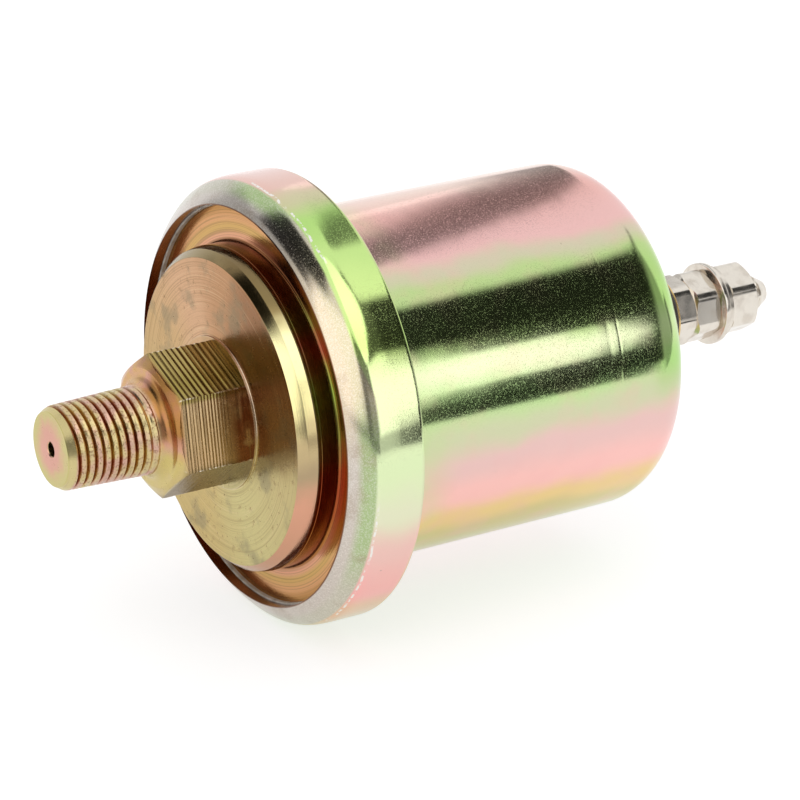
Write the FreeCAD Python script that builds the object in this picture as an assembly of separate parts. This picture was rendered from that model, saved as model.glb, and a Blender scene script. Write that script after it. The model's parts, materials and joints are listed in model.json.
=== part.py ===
import FreeCAD, Part
import math
import os

# Oil pressure sender, lying along X. The threaded stem points to -X, the terminal to +X.
# The origin is on the axis, where the big end of the thread meets the neck fillet.
# All sizes are in millimetres.

# Threaded stem: a 10 mm taper thread, 1 in 16 on the diameter
stem_length = 11.0
stem_big_r = 5.2
taper_per_mm = 1.0 / 32.0
tip_chamfer = 0.9
tip_chamfer_depth = 0.56
inlet_r = 0.85
inlet_depth = 3.0
passage_r = 1.75
neck_fillet_r = 1.3

# Hexagon and the thin collar behind it
hex_corner_r = 8.6
hex_turn_deg = 21.0
hex_length = 8.8
hex_land = 0.5
hex_chamfer_slope = 0.575
collar_r = 9.0
collar_thickness = 0.28

# Deep-drawn can with its rolled lip
sheet = 1.0
can_r = 21.0
can_length = 41.15
shoulder_r = 5.0
step_width = 5.5
step_fillet_r = 1.2
rim_edge_r = 0.4
rim_run_in = 1.7
crease_inset = 0.25
crease_depth = 2.3
lip_width = 2.95
lip_land = 0.25
lip_front = 1.81

# Round boss and the flange that the can is rolled over
groove_width = 4.45
boss_face_inset = 1.08
boss_chamfer_inset = 0.25
boss_chamfer_length = 0.92
boss_taper_length = 1.1
boss_height = 4.83
boss_root_r = 0.4
flange_thickness = 3.0
chamber_depth = 1.2
flange_seat_gap = 0.05
ring_lap = 0.2
ring_gap = 0.06

# Restrictor pressed into the passage
plug_length = 4.0
plug_inset = 3.0
plug_hole_r = 0.3
press_gap = 0.01

# Stack clamped in the rim
diaphragm_thickness = 0.3
diaphragm_flat_r = 8.0
wave_pitch = 1.075
wave_height = 0.35
gasket_thickness = 0.5
gasket_width = 5.4
support_thickness = 1.75
stack_gap = 0.1

# Thrust pad with its rod, and the spring round the rod
stroke = 1.5
pad_r = 7.0
pad_thickness = 1.2
rod_r = 1.2
rod_length = 10.8
groove_r = 0.7
rod_collar_r = 1.7
rod_collar_length = 1.0
slide_gap = 0.05
spring_coil_r = 4.2
spring_wire_r = 0.45
spring_turns = 4.0
spring_seat_gap = 0.05

# Frame that stands on two pillars
frame_sheet = 1.2
frame_stand = 7.25
frame_air = 2.4
frame_half_width = 6.7
frame_end_r = 5.0
pillar_r = 1.75
pillar_inset = 1.8
pillar_seat = 2.3
screw_r = 1.0
screw_head_r = 2.2
screw_head_height = 1.3
screw_slot = 0.5
cheek_root_half = 8.0
cheek_overhang = 0.6

# Rocker lever: its short fork rides in the rod's groove, its long arm carries the wiper
fork_arm = 3.8
fork_tip_r = 0.8
fork_web_half = 0.45
fork_prong = 1.2
fork_gap = 0.2
hub_r = 1.6
shaft_r = 0.8
shaft_gap = 0.03
hub_side_gap = 0.2
shaft_overhang = 0.8
arm_inset = 6.5
arm_width = 5.0
arm_thickness = 1.0
wiper_lap = 4.0
card_air = 3.9
wiper_gap = 0.08
wiper_strip = 0.3
wiper_strip_width = 3.0
wiper_tip_inset = 0.45
contact_r = 0.6
contact_length = 1.8

# Resistance card, bent to an arc about the rocker shaft
card_thickness = 1.0
card_half_width = 3.6
winding_overrun_deg = 2.6
winding_base = 0.2
winding_ridge = 0.15
winding_turns = 24
holder_length = 2.5
holder_wall = 1.1
lead_seat = 2.05
holder_gap = 0.05
card_grip = 0.85
card_end_gap = 0.08

# Terminal: stud, insulators, washers and nuts
stud_r = 2.45
stud_head_r = 4.5
stud_head_thickness = 2.0
stud_slot = 1.0
stud_tip_length = 1.8
stud_tip_r = 1.45
stud_beyond_nut = 3.2
hole_gap = 0.05
end_hole_r = 3.6
inner_insulator_r = 7.5
inner_insulator_thickness = 1.2
bush_r = 5.2
bush_flange_r = 8.0
bush_flange_thickness = 1.6
bush_height = 8.65
bush_chamfer = 0.6
seat_washer_r = 5.1
seat_washer_thickness = 0.65
nut_flats = 8.0
thin_nut_height = 3.2
middle_nut_height = 3.7
nut_height = 4.2
nut_chamfer_slope = 0.577
clamp_nut_turn_deg = 5.0
middle_nut_turn_deg = 22.5
terminal_nut_turn_deg = 26.0
flat_washer_r = 5.1
flat_washer_thickness = 0.8
lock_washer_r = 4.6
lock_washer_thickness = 0.75
lock_washer_split = 0.5

# Strip that joins the winding to the stud
lead_thickness = 0.4
lead_half_width = 1.5
lead_lap_half = 0.5

# Places along X that follow from the sizes above
shoulder_x = neck_fillet_r
hex_end_x = shoulder_x + hex_length
boss_face_x = hex_end_x + collar_thickness
annulus_x = boss_face_x + boss_height
rim_r = can_r + step_width
crease_r = rim_r - crease_inset
lip_hole_r = rim_r - lip_width
boss_r = lip_hole_r - groove_width
boss_face_r = boss_r - boss_face_inset
boss_chamfer_r = boss_r - boss_chamfer_inset
ring_inner_r = lip_hole_r - ring_lap
flange_back_x = annulus_x + flange_thickness
diaphragm_x = flange_back_x + diaphragm_thickness
gasket_x = diaphragm_x + gasket_thickness
support_x = gasket_x + support_thickness
step_x = support_x + sheet
lip_x = annulus_x - lip_front
inner_can_r = can_r - sheet
frame_half_height = inner_can_r - frame_air
pillar_centre = frame_half_height - pillar_inset
chamber_r = pillar_centre - pillar_seat
flange_r = rim_r - sheet - stack_gap
wave_end_r = chamber_r - chamber_depth
wave_count = int((wave_end_r - diaphragm_flat_r) / wave_pitch + 0.01)
crease_x = lip_x + crease_depth
can_end_x = step_x + can_length
end_inner_x = can_end_x - sheet
frame_x = support_x + frame_stand
groove_start_x = diaphragm_x + pad_thickness + rod_length
groove_length = 2.0 * (fork_tip_r + slide_gap)
swing_half = math.asin(0.5 * stroke / fork_arm)
pivot_x = groove_start_x + slide_gap + fork_tip_r + 0.5 * stroke
pivot_z = -fork_arm * math.cos(swing_half)
stud_head_x = end_inner_x - inner_insulator_thickness
winding_height = winding_base + winding_ridge
card_outer_r = stud_head_x - stud_head_thickness - card_air - winding_height - pivot_x
card_inner_r = card_outer_r - card_thickness
wiper_radius = card_inner_r - winding_height
arm_length = wiper_radius - arm_inset
winding_half_deg = math.degrees(swing_half) + winding_overrun_deg
holder_start_deg = winding_half_deg + math.degrees(lead_seat / card_outer_r)
holder_end_deg = holder_start_deg + math.degrees(holder_length / card_outer_r)
card_half_deg = holder_start_deg + math.degrees(card_grip / card_outer_r)
holder_outer_r = card_outer_r + holder_wall
cheek_tip_x = pivot_x + holder_outer_r * math.cos(math.radians(holder_start_deg)) + cheek_overhang
cheek_tip_half = holder_outer_r * math.sin(math.radians(holder_end_deg)) + cheek_overhang
bush_end_x = can_end_x + bush_height
seat_washer_x = bush_end_x + seat_washer_thickness
clamp_nut_x = seat_washer_x + thin_nut_height
middle_nut_x = clamp_nut_x + middle_nut_height
flat_washer_x = middle_nut_x + flat_washer_thickness
lock_washer_x = flat_washer_x + lock_washer_thickness
terminal_nut_x = lock_washer_x + nut_height
stud_end_x = terminal_nut_x + stud_beyond_nut

axis_x = FreeCAD.Vector(1, 0, 0)
axis_y = FreeCAD.Vector(0, 1, 0)
origin = FreeCAD.Vector(0, 0, 0)
pivot = FreeCAD.Vector(pivot_x, 0, pivot_z)


def at(x, r):
    return FreeCAD.Vector(x, 0, r)


# A turned piece: points are (x, radius), and ("arc", middle, end) gives a round stretch
def turned(outline):
    edges = []
    last = at(*outline[0])
    for step in outline[1:] + [outline[0]]:
        if step[0] == "arc":
            end = at(*step[2])
            edges.append(Part.Arc(last, at(*step[1]), end).toShape())
        else:
            end = at(*step)
            edges.append(Part.LineSegment(last, end).toShape())
        last = end
    face = Part.Face(Part.Wire(edges))
    return face.revolve(origin, axis_x, 360)


# The quarter of a circle from one angle to another, as a step of an outline
def round_step(centre, radius, from_deg, to_deg):
    middle = math.radians(0.5 * (from_deg + to_deg))
    end = math.radians(to_deg)
    mid_point = (centre[0] + radius * math.cos(middle), centre[1] + radius * math.sin(middle))
    end_point = (centre[0] + radius * math.cos(end), centre[1] + radius * math.sin(end))
    return ("arc", mid_point, end_point)


def rod_along_x(radius, x_from, x_to):
    return Part.makeCylinder(radius, x_to - x_from, at(x_from, 0), axis_x)


def tube_along_x(outer, inner, x_from, x_to):
    return turned([(x_from, inner), (x_from, outer), (x_to, outer), (x_to, inner)])


def hexagon(corner_r, turn_deg, x_from, x_to):
    corners = []
    for k in range(6):
        angle = math.radians(turn_deg + 60 * k)
        corners.append(FreeCAD.Vector(x_from, corner_r * math.cos(angle), corner_r * math.sin(angle)))
    wire = Part.makePolygon(corners + [corners[0]])
    return Part.Face(wire).extrude(FreeCAD.Vector(x_to - x_from, 0, 0))


# A flat outline in the X-Z plane, given by its points, thickened evenly along Y
def plate_xz(points, y_from, y_to):
    corners = [FreeCAD.Vector(x, y_from, z) for x, z in points]
    wire = Part.makePolygon(corners + [corners[0]])
    return Part.Face(wire).extrude(FreeCAD.Vector(0, y_to - y_from, 0))


# A block that is an arc about the rocker shaft, between two radii and two angles
def arc_block(inner, outer, from_deg, to_deg, half_width):
    def point(radius, degrees):
        angle = math.radians(degrees)
        return FreeCAD.Vector(pivot_x + radius * math.cos(angle), -half_width,
                              pivot_z + radius * math.sin(angle))
    middle = 0.5 * (from_deg + to_deg)
    edges = [Part.Arc(point(inner, from_deg), point(inner, middle), point(inner, to_deg)).toShape(),
             Part.LineSegment(point(inner, to_deg), point(outer, to_deg)).toShape(),
             Part.Arc(point(outer, to_deg), point(outer, middle), point(outer, from_deg)).toShape(),
             Part.LineSegment(point(outer, from_deg), point(inner, from_deg)).toShape()]
    face = Part.Face(Part.Wire(edges))
    return face.extrude(FreeCAD.Vector(0, 2 * half_width, 0))


def lip_slope():
    return (crease_x - lip_x) / (crease_r - lip_hole_r - lip_land)


# Where the lip's underside stands at a given radius
def under_lip(radius):
    slope = lip_slope()
    thickness_along_x = sheet * math.sqrt(1 + slope * slope)
    return lip_x + thickness_along_x + (radius - lip_hole_r - lip_land) * slope


# The flange is cut back to here, under the lip, and the packing ring sits on it
def ring_seat_x():
    return under_lip(flange_r) + flange_seat_gap


def turned_stem():
    tip_r = stem_big_r - (stem_length - tip_chamfer) * taper_per_mm
    return [(-stem_length, 0), (-stem_length, tip_r - tip_chamfer_depth),
            (tip_chamfer - stem_length, tip_r), (0, stem_big_r),
            round_step((0, stem_big_r + neck_fillet_r), neck_fillet_r, -90, 0)]


def base_fitting():
    land_r = stem_big_r + neck_fillet_r + hex_land
    cone_length = (hex_corner_r - land_r) * hex_chamfer_slope
    stem = turned(turned_stem() + [(shoulder_x, 0)])
    envelope = turned([(shoulder_x, 0), (shoulder_x, land_r), (shoulder_x + cone_length, hex_corner_r + 0.001),
                       (hex_end_x, hex_corner_r + 0.001), (hex_end_x, 0)])
    six_sides = hexagon(hex_corner_r, hex_turn_deg, shoulder_x, hex_end_x).common(envelope)
    chamfer_x = boss_face_x + boss_chamfer_length
    disc = turned([(hex_end_x, 0), (hex_end_x, collar_r), (boss_face_x, collar_r),
                   (boss_face_x, boss_face_r), (chamfer_x, boss_chamfer_r),
                   (chamfer_x + boss_taper_length, boss_r), (annulus_x - boss_root_r, boss_r),
                   round_step((annulus_x - boss_root_r, boss_r + boss_root_r), boss_root_r, -90, 0),
                   (annulus_x, ring_inner_r), (ring_seat_x(), ring_inner_r),
                   (ring_seat_x(), flange_r), (flange_back_x, flange_r),
                   (flange_back_x, chamber_r), (flange_back_x - chamber_depth, chamber_r - chamber_depth),
                   (flange_back_x - chamber_depth, 0)])
    whole = stem.fuse([six_sides, disc]).removeSplitter()
    inlet = rod_along_x(inlet_r, -stem_length, inlet_depth - stem_length)
    passage = rod_along_x(passage_r, inlet_depth - stem_length, flange_back_x)
    return whole.cut(inlet.fuse(passage))


def restrictor_plug():
    start = inlet_depth - stem_length + plug_inset
    return tube_along_x(passage_r - press_gap, plug_hole_r, start, start + plug_length)


def housing_can():
    inner_rim_r = rim_r - sheet
    step_centre = (step_x + step_fillet_r, can_r + step_fillet_r)
    shoulder_centre = (can_end_x - shoulder_r, can_r - shoulder_r)
    inner_shoulder_r = shoulder_r - sheet
    outside = [(lip_x, lip_hole_r), (lip_x, lip_hole_r + lip_land), (crease_x, crease_r),
               (crease_x + rim_run_in, rim_r), (step_x - rim_edge_r, rim_r),
               round_step((step_x - rim_edge_r, rim_r - rim_edge_r), rim_edge_r, 90, 0),
               (step_x, step_centre[1]), round_step(step_centre, step_fillet_r, 180, 270),
               (shoulder_centre[0], can_r), round_step(shoulder_centre, shoulder_r, 90, 0),
               (can_end_x, end_hole_r)]
    inside = [(end_inner_x, end_hole_r), (end_inner_x, shoulder_centre[1]),
              round_step(shoulder_centre, inner_shoulder_r, 0, 90),
              (step_centre[0], inner_can_r), round_step(step_centre, step_fillet_r + sheet, 270, 180),
              (support_x, inner_rim_r), (under_lip(inner_rim_r), inner_rim_r),
              (under_lip(lip_hole_r), lip_hole_r)]
    return turned(outside + inside)


# Wedge-shaped ring that the lip is rolled down on
def packing_ring():
    crest_r = lip_hole_r + ring_gap
    seat_x = ring_seat_x()
    crest_x = under_lip(crest_r) + ring_gap
    seat_r = min(flange_r, crest_r + (seat_x - ring_gap - crest_x) / lip_slope())
    return turned([(seat_x, ring_inner_r), (crest_x, ring_inner_r), (crest_x, crest_r),
                   (seat_x - ring_gap, seat_r), (seat_x, seat_r)])


# Round waves of a disc's face, walked from one radius by steps; each wave turns the other way
def wave_steps(x_base, from_r, step, first_sign):
    steps = []
    for k in range(wave_count):
        sign = first_sign if k % 2 == 0 else -first_sign
        start_r = from_r + k * step
        steps.append(("arc", (x_base + sign * wave_height, start_r + 0.5 * step), (x_base, start_r + step)))
    return steps


def diaphragm():
    wave_start_r = wave_end_r - wave_count * wave_pitch
    front = [(flange_back_x, 0), (flange_back_x, wave_start_r)]
    front += wave_steps(flange_back_x, wave_start_r, wave_pitch, -1)
    front += [(flange_back_x, flange_r), (diaphragm_x, flange_r), (diaphragm_x, wave_end_r)]
    # The back follows the same waves, walked inwards
    first_back = 1 if wave_count % 2 == 0 else -1
    back = wave_steps(diaphragm_x, wave_end_r, -wave_pitch, first_back)
    return turned(front + back + [(diaphragm_x, 0)])


def diaphragm_gasket():
    return tube_along_x(flange_r, flange_r - gasket_width, diaphragm_x, gasket_x)


def support_plate():
    plate = tube_along_x(flange_r, chamber_r, gasket_x, support_x)
    for side in (1, -1):
        centre = FreeCAD.Vector(gasket_x, 0, side * pillar_centre)
        plate = plate.cut(Part.makeCylinder(screw_r + slide_gap, support_thickness, centre, axis_x))
    return plate


def thrust_pad():
    pad_back = diaphragm_x + pad_thickness
    groove_end = groove_start_x + groove_length
    return turned([(diaphragm_x, 0), (diaphragm_x, pad_r), (pad_back, pad_r), (pad_back, rod_r),
                   (groove_start_x - rod_collar_length, rod_r),
                   (groove_start_x, rod_r), (groove_start_x, groove_r), (groove_end, groove_r),
                   (groove_end, rod_collar_r), (groove_end + rod_collar_length, rod_collar_r),
                   (groove_end + rod_collar_length, 0)])


def return_spring():
    start = diaphragm_x + pad_thickness + spring_wire_r + spring_seat_gap
    end = frame_x - spring_wire_r - spring_seat_gap
    pitch = (end - start) / spring_turns
    helix = Part.makeHelix(pitch, end - start, spring_coil_r)
    ring = Part.makeCircle(spring_wire_r, FreeCAD.Vector(spring_coil_r, 0, 0), axis_y)
    coil = Part.Wire(helix.Edges).makePipeShell([Part.Wire([ring])], True, True)
    coil.rotate(origin, axis_y, 90)
    coil.translate(at(start, 0))
    return coil


def bridge_frame():
    half = frame_half_height
    web = Part.makeBox(frame_sheet, 2 * frame_half_width, 2 * half,
                       FreeCAD.Vector(frame_x, -frame_half_width, -half))
    rounding = rod_along_x(math.hypot(half, frame_half_width - frame_end_r), frame_x, frame_x + frame_sheet)
    web = web.common(rounding)
    knee_x = pivot_x + 2 * hub_r
    wide_x = cheek_tip_x - 3 * holder_wall
    outline = [(frame_x, -cheek_root_half), (frame_x, cheek_root_half),
               (knee_x, cheek_root_half), (wide_x, pivot_z + cheek_tip_half),
               (cheek_tip_x, pivot_z + cheek_tip_half), (cheek_tip_x, pivot_z - cheek_tip_half),
               (wide_x, pivot_z - cheek_tip_half), (knee_x, -cheek_root_half)]
    inner = frame_half_width - frame_sheet
    upper = plate_xz(outline, inner, frame_half_width)
    lower = plate_xz(outline, -frame_half_width, -inner)
    whole = web.fuse([upper, lower]).removeSplitter()
    guide = rod_along_x(rod_r + slide_gap, frame_x, frame_x + frame_sheet)
    pivot_hole = Part.makeCylinder(shaft_r, 2 * frame_half_width,
                                   FreeCAD.Vector(pivot_x, -frame_half_width, pivot_z), axis_y)
    whole = whole.cut(guide.fuse(pivot_hole))
    for side in (1, -1):
        centre = FreeCAD.Vector(frame_x, 0, side * pillar_centre)
        whole = whole.cut(Part.makeCylinder(screw_r + slide_gap, frame_sheet, centre, axis_x))
    return whole


# Two spacers between the support plate and the frame
def bridge_pillars():
    group = []
    for side in (1, -1):
        centre = FreeCAD.Vector(support_x, 0, side * pillar_centre)
        post = Part.makeCylinder(pillar_r, frame_stand, centre, axis_x)
        group.append(post.cut(Part.makeCylinder(screw_r + slide_gap, frame_stand, centre, axis_x)))
    return Part.makeCompound(group)


# Slotted screws that go through frame and spacer into the support plate
def pillar_screws():
    head_x = frame_x + frame_sheet
    group = []
    for side in (1, -1):
        centre = FreeCAD.Vector(gasket_x, 0, side * pillar_centre)
        shank = Part.makeCylinder(screw_r, head_x - gasket_x, centre, axis_x)
        head = Part.makeCylinder(screw_head_r, screw_head_height,
                                 FreeCAD.Vector(head_x, 0, side * pillar_centre), axis_x)
        slot = Part.makeBox(screw_slot, 2 * screw_head_r, screw_slot,
                            FreeCAD.Vector(head_x + screw_head_height - screw_slot, -screw_head_r,
                                           side * pillar_centre - 0.5 * screw_slot))
        group.append(shank.fuse(head).removeSplitter().cut(slot))
    return Part.makeCompound(group)


def rocker_shaft():
    half = frame_half_width + shaft_overhang
    return Part.makeCylinder(shaft_r - press_gap, 2 * half, FreeCAD.Vector(pivot_x, -half, pivot_z), axis_y)


# Turn a piece that was built with its arm along +X to the arm's rest angle
def to_rest_angle(shape):
    shape.rotate(pivot, axis_y, -math.degrees(swing_half))
    return shape


def rocker_lever():
    half = frame_half_width - frame_sheet - hub_side_gap
    hub = Part.makeCylinder(hub_r, 2 * half, FreeCAD.Vector(pivot_x, -half, pivot_z), axis_y)
    arm = Part.makeBox(arm_length, arm_width, arm_thickness,
                       FreeCAD.Vector(pivot_x, -0.5 * arm_width, pivot_z - 0.5 * arm_thickness))
    pieces = [arm]
    inner = groove_r + fork_gap
    for side in (1, -1):
        low = inner if side > 0 else -inner - fork_prong
        web = Part.makeBox(2 * fork_web_half, fork_prong, fork_arm,
                           FreeCAD.Vector(pivot_x - fork_web_half, low, pivot_z))
        tip = Part.makeCylinder(fork_tip_r, fork_prong,
                                FreeCAD.Vector(pivot_x, low, pivot_z + fork_arm), axis_y)
        pieces += [web, tip]
    whole = to_rest_angle(hub.fuse(pieces).removeSplitter())
    bore = Part.makeCylinder(shaft_r + shaft_gap, 2 * half, FreeCAD.Vector(pivot_x, -half, pivot_z), axis_y)
    return whole.cut(bore)


def wiper_spring():
    low_z = pivot_z + 0.5 * arm_thickness
    reach = wiper_radius - wiper_tip_inset
    start = arm_length - wiper_lap
    strip = Part.makeBox(reach - start, wiper_strip_width, wiper_strip,
                         FreeCAD.Vector(pivot_x + start, -0.5 * wiper_strip_width, low_z))
    return to_rest_angle(strip)


# Round-nosed contact under the end of the spring
def wiper_contact():
    low_z = pivot_z + 0.5 * arm_thickness - contact_r
    end_x = pivot_x + wiper_radius - wiper_gap
    body = Part.makeCylinder(contact_r, contact_length - contact_r,
                             FreeCAD.Vector(end_x - contact_length, 0, low_z), axis_x)
    nose = Part.makeSphere(contact_r, FreeCAD.Vector(end_x - contact_r, 0, low_z))
    return to_rest_angle(body.fuse(nose).removeSplitter())


def resistor_card():
    return arc_block(card_inner_r, card_outer_r, -card_half_deg, card_half_deg, card_half_width)


# Wire wound round the card: a closed sleeve with one ridge for each turn
def resistance_winding():
    def sleeve(thickness, from_deg, to_deg):
        outer = arc_block(card_inner_r - thickness, card_outer_r + thickness, from_deg, to_deg,
                          card_half_width + thickness)
        return outer.cut(arc_block(card_inner_r, card_outer_r, from_deg - 1, to_deg + 1, card_half_width))
    base = sleeve(winding_base, -winding_half_deg, winding_half_deg)
    pitch = 2 * winding_half_deg / winding_turns
    ridges = []
    for k in range(winding_turns):
        start = -winding_half_deg + (k + 0.2) * pitch
        ridges.append(sleeve(winding_base + winding_ridge, start, start + 0.6 * pitch))
    return base.fuse(ridges).removeSplitter()


# Two insulating blocks between the cheeks, each slotted for an end of the card
def card_holders():
    half = frame_half_width - frame_sheet
    group = []
    slot_end_deg = card_half_deg + math.degrees(card_end_gap / card_outer_r)
    for side in (1, -1):
        block = arc_block(card_inner_r - holder_wall, holder_outer_r,
                          side * holder_start_deg, side * holder_end_deg, half)
        slot = arc_block(card_inner_r - holder_gap, card_outer_r + holder_gap,
                         side * winding_half_deg, side * slot_end_deg, card_half_width + holder_gap)
        group.append(block.cut(slot))
    return Part.makeCompound(group)


# Thin bent strip: the path is its middle line in the X-Z plane
def bent_strip(path, thickness, half_width):
    left = []
    right = []
    for k, (x, z) in enumerate(path):
        x_in, z_in = path[max(k - 1, 0)]
        x_out, z_out = path[min(k + 1, len(path) - 1)]
        turn_in = math.atan2(z - z_in, x - x_in) if k > 0 else math.atan2(z_out - z, x_out - x)
        turn_out = math.atan2(z_out - z, x_out - x) if k < len(path) - 1 else turn_in
        middle = 0.5 * (turn_in + turn_out)
        reach = 0.5 * thickness / math.cos(0.5 * (turn_out - turn_in))
        left.append((x - reach * math.sin(middle), z + reach * math.cos(middle)))
        right.append((x + reach * math.sin(middle), z - reach * math.cos(middle)))
    return plate_xz(left + right[::-1], -half_width, half_width)


def contact_strip():
    middle_deg = 0.5 * (winding_half_deg + holder_start_deg)
    lap = card_outer_r + 0.5 * lead_thickness
    angle = math.radians(middle_deg)
    foot = (pivot_x + lap * math.cos(angle), pivot_z + lap * math.sin(angle))
    tangent = (math.sin(angle), -math.cos(angle))
    heel = (foot[0] - lead_lap_half * tangent[0], foot[1] - lead_lap_half * tangent[1])
    toe = (foot[0] + lead_lap_half * tangent[0], foot[1] + lead_lap_half * tangent[1])
    face_x = stud_head_x - stud_head_thickness - 0.5 * lead_thickness
    path = [heel, toe, (face_x, 0.6 * stud_head_r), (face_x, -0.6 * stud_head_r)]
    return bent_strip(path, lead_thickness, lead_half_width)


def inner_insulator():
    return tube_along_x(inner_insulator_r, stud_r + hole_gap, stud_head_x, end_inner_x)


def insulating_bush():
    flange_end = can_end_x + bush_flange_thickness
    return turned([(end_inner_x, stud_r + hole_gap), (end_inner_x, end_hole_r - hole_gap),
                   (can_end_x, end_hole_r - hole_gap), (can_end_x, bush_flange_r),
                   (flange_end, bush_flange_r), (flange_end, bush_r),
                   (bush_end_x - bush_chamfer, bush_r), (bush_end_x, bush_r - bush_chamfer),
                   (bush_end_x, stud_r + hole_gap)])


def terminal_stud():
    head_start = stud_head_x - stud_head_thickness
    stud = turned([(head_start, 0), (head_start, stud_head_r), (stud_head_x, stud_head_r),
                   (stud_head_x, stud_r), (stud_end_x - stud_tip_length, stud_r),
                   (stud_end_x, stud_tip_r), (stud_end_x, 0)])
    # Two flats on the head keep it from turning
    for side in (1, -1):
        flat = Part.makeBox(stud_head_thickness, 2 * stud_slot, 2 * stud_head_r,
                            FreeCAD.Vector(head_start, side * stud_head_r - stud_slot, -stud_head_r))
        stud = stud.cut(flat)
    return stud


def plain_washer(outer, x_from, x_to):
    return tube_along_x(outer, stud_r + hole_gap, x_from, x_to)


def lock_washer():
    ring = plain_washer(lock_washer_r, flat_washer_x, lock_washer_x)
    split = Part.makeBox(lock_washer_thickness, lock_washer_split, lock_washer_r,
                         FreeCAD.Vector(flat_washer_x, -0.5 * lock_washer_split, -lock_washer_r))
    return ring.cut(split)


def nut(x_from, x_to, turn_deg):
    corner_r = nut_flats / math.sqrt(3)
    flat_r = 0.5 * nut_flats
    cone = (corner_r - 0.97 * flat_r) * nut_chamfer_slope
    envelope = turned([(x_from, 0), (x_from, 0.97 * flat_r), (x_from + cone, corner_r), (x_to - cone, corner_r),
                       (x_to, 0.97 * flat_r), (x_to, 0)])
    body = hexagon(corner_r, turn_deg, x_from, x_to).common(envelope)
    return body.cut(rod_along_x(stud_r + hole_gap, x_from, x_to))


pieces = {
    "base_fitting": base_fitting(),
    "restrictor_plug": restrictor_plug(),
    "packing_ring": packing_ring(),
    "housing_can": housing_can(),
    "diaphragm": diaphragm(),
    "diaphragm_gasket": diaphragm_gasket(),
    "support_plate": support_plate(),
    "thrust_pad": thrust_pad(),
    "return_spring": return_spring(),
    "bridge_frame": bridge_frame(),
    "bridge_pillars": bridge_pillars(),
    "pillar_screws": pillar_screws(),
    "rocker_shaft": rocker_shaft(),
    "rocker_lever": rocker_lever(),
    "wiper_spring": wiper_spring(),
    "wiper_contact": wiper_contact(),
    "resistor_card": resistor_card(),
    "resistance_winding": resistance_winding(),
    "card_holders": card_holders(),
    "contact_strip": contact_strip(),
    "inner_insulator": inner_insulator(),
    "insulating_bush": insulating_bush(),
    "terminal_stud": terminal_stud(),
    "seat_washer": plain_washer(seat_washer_r, bush_end_x, seat_washer_x),
    "clamp_nut": nut(seat_washer_x, clamp_nut_x, clamp_nut_turn_deg),
    "middle_nut": nut(clamp_nut_x, middle_nut_x, middle_nut_turn_deg),
    "flat_washer": plain_washer(flat_washer_r, middle_nut_x, flat_washer_x),
    "lock_washer": lock_washer(),
    "terminal_nut": nut(lock_washer_x, terminal_nut_x, terminal_nut_turn_deg),
}

os.makedirs("parts", exist_ok=True)
for name, shape in pieces.items():
    shape.exportStep("parts/" + name + ".step")
    box = shape.BoundBox
    print(name, "valid" if shape.isValid() else "INVALID", len(shape.Solids), "solid(s)",
          "volume %.1f" % shape.Volume,
          "x %.2f %.2f y %.2f %.2f z %.2f %.2f" % (box.XMin, box.XMax, box.YMin, box.YMax, box.ZMin, box.ZMax))
print("pivot at", round(pivot_x, 4), round(pivot_z, 4), "swing in degrees", round(2 * math.degrees(swing_half), 3))
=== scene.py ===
import json
import math

import bmesh
import bpy
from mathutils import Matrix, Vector, noise


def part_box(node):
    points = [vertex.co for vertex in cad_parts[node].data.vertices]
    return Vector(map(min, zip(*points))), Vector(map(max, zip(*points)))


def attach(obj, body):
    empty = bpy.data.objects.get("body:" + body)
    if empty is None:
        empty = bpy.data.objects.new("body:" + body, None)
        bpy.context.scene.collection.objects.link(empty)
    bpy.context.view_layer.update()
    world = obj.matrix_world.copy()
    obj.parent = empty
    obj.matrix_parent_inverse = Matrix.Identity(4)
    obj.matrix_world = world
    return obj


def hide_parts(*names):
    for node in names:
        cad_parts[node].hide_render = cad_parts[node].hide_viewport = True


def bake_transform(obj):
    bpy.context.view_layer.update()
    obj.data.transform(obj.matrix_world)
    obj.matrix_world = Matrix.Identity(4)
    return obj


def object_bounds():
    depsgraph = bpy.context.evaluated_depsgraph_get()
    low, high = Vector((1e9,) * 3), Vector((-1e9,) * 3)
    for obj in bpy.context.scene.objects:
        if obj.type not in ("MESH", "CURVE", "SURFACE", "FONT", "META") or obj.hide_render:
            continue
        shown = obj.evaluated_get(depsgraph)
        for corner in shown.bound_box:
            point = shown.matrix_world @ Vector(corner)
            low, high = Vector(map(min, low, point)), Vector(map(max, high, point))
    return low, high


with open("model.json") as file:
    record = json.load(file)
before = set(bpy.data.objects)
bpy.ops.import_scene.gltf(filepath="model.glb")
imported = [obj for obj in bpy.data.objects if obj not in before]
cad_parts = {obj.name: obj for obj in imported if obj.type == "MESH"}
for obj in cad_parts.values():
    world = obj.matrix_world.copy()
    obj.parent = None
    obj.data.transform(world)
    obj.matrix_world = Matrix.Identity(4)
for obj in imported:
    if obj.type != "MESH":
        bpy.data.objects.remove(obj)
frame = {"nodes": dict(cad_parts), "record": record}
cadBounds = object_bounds()
print("frame loaded, nodes:", len(frame["nodes"]))

mm = 0.001
fullTurn = 2 * math.pi
facingDeg = 155.0  # the side of the barrel that the photograph shows, from +Y towards +Z


# mesh tools, all in millimetres about the X axis

meshLimits = {
    "weld": 0.0004,  # points nearer than this are one point
    "slim": 0.0003,  # edges shorter than this are taken out
    "straight": 1.5,  # half a corner's angle from which it needs no rounding
    "cornerShare": 0.48,  # how much of a side one rounding may take
    "centreR": 0.001,  # a ring this small closes an end on the axis
}


def makeObject(name, points, faces, sharpDeg=32):
    mesh = bpy.data.meshes.new(name)
    mesh.from_pydata([(x * mm, y * mm, z * mm) for x, y, z in points], [], faces)
    piece = bpy.data.objects.new(name, mesh)
    bpy.context.scene.collection.objects.link(piece)
    tidyMesh(piece, sharpDeg)
    return piece


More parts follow.
